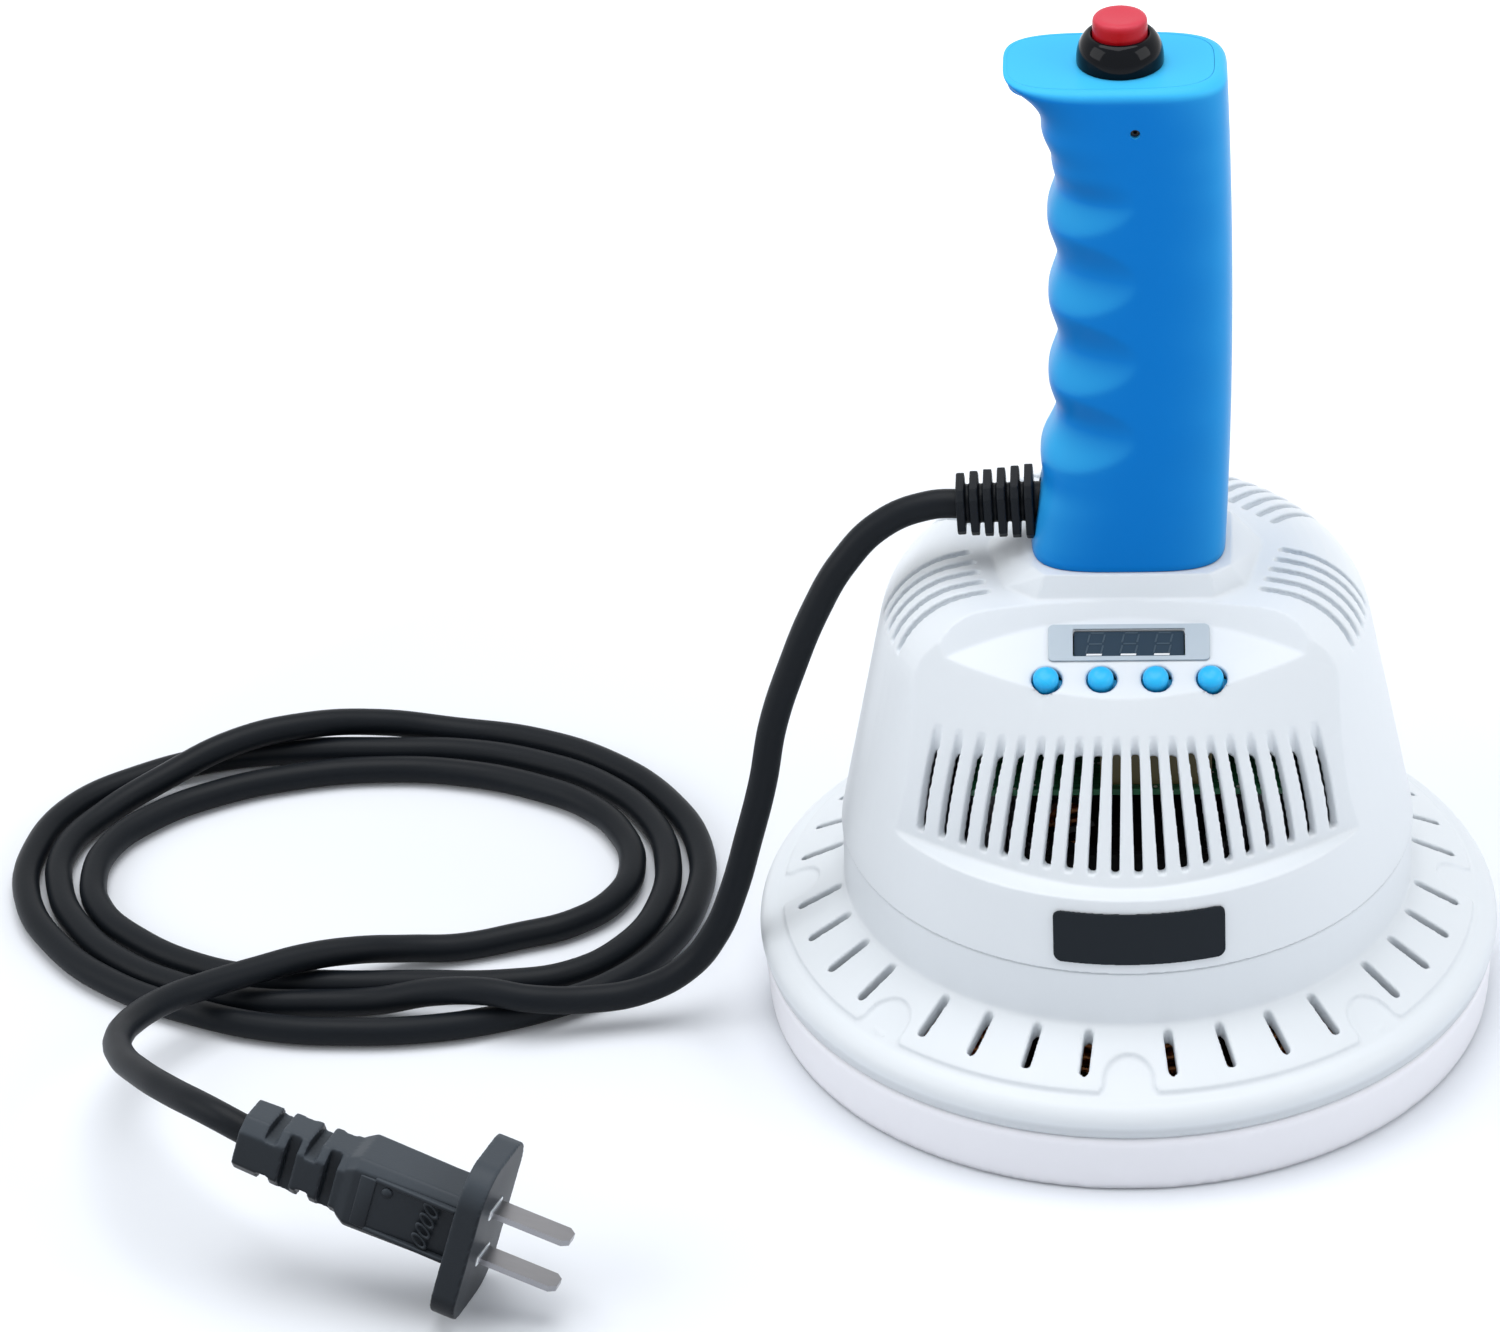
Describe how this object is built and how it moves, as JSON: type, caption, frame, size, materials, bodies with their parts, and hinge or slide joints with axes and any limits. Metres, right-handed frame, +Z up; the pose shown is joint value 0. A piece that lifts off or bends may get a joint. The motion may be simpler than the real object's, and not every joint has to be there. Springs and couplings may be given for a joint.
{
  "type": "hand-held induction cap sealer",
  "caption": "Hand-held induction cap sealer: round coil head under a bell-shaped housing with a grille, keys and display, a finger-grip handle with a trigger button, and a mains cord with plug.",
  "frame": {"origin": "centre of the sealing face, at the bottom of the base", "axes": "+Z up along the handle, -Y towards the grille and the control facet, -X towards the finger grips and the cord's exit"},
  "size_m": [0.3723, 0.2533, 0.262],
  "materials": {
    "white_abs": "satin moulded",
    "blue_abs": "satin moulded",
    "blue_key": "gloss moulded",
    "red_button": "gloss moulded",
    "black_gloss": "gloss moulded",
    "black_matte": "matt moulded",
    "black_rubber": "soft PVC",
    "badge": "satin",
    "label": "satin film",
    "display": "gloss window",
    "steel": "bright",
    "sheet": "mill",
    "sink": "extruded",
    "copper_wire": "enamelled copper",
    "ferrite": "sintered",
    "former": "moulded",
    "board": "solder mask",
    "film_yellow": "moulded",
    "sleeve": "shrink sleeve"
  },
  "bodies": {
    "sealer": {"base_tray": "white_abs", "skirt_cover": "white_abs", "base_screws": "steel", "coil_former": "former", "induction_coil": "copper_wire", "ferrite_bars": "ferrite", "chassis_plate": "sheet", "power_board": "board", "power_board_screws": "steel", "film_capacitor": "film_yellow", "electrolytic_capacitors": "sleeve", "choke": "copper_wire", "heat_sink": "sink", "power_transistors": "black_matte", "fan_frame": "black_matte", "fan_screws": "steel", "upper_housing": "white_abs", "housing_screws": "steel", "badge_plate": "badge", "display_label": "label", "display_module": "display", "control_board": "board", "control_board_screws": "steel", "key_switches": "black_matte", "handle_shell": "blue_abs", "handle_screws": "steel", "handle_cap": "blue_abs", "cap_screw": "steel", "switch_bezel": "black_gloss", "switch_nut": "steel", "switch_body": "black_matte", "trigger_spring": "steel", "strain_relief": "black_rubber", "cord": "black_rubber", "plug_body": "black_rubber", "plug_blades": "steel"},
    "trigger": {"trigger_button": "red_button"},
    "fan": {"fan_rotor": "black_matte"},
    "start_key": {"key_1": "blue_key"},
    "up_key": {"key_2": "blue_key"},
    "down_key": {"key_3": "blue_key"},
    "set_key": {"key_4": "blue_key"}
  },
  "joints": [
    {"name": "trigger_press", "type": "slide", "parent": "sealer", "child": "trigger", "axis": [0, 0, -1], "range_m": [0, 0.003], "stiffness_N_per_m": 1500, "deforming": ["trigger_spring"]},
    {"name": "start_press", "type": "slide", "parent": "sealer", "child": "start_key", "axis": [0, 0.4226, -0.9063], "range_m": [0, 0.001], "stiffness_N_per_m": 1500},
    {"name": "up_press", "type": "slide", "parent": "sealer", "child": "up_key", "axis": [0, 0.4226, -0.9063], "range_m": [0, 0.001], "stiffness_N_per_m": 1500},
    {"name": "down_press", "type": "slide", "parent": "sealer", "child": "down_key", "axis": [0, 0.4226, -0.9063], "range_m": [0, 0.001], "stiffness_N_per_m": 1500},
    {"name": "set_press", "type": "slide", "parent": "sealer", "child": "set_key", "axis": [0, 0.4226, -0.9063], "range_m": [0, 0.001], "stiffness_N_per_m": 1500},
    {"name": "fan_spin", "type": "hinge", "parent": "sealer", "child": "fan", "pos_m": [0, -0.006, 0.05], "axis": [0, 0, 1], "continuous": true}
  ]
}
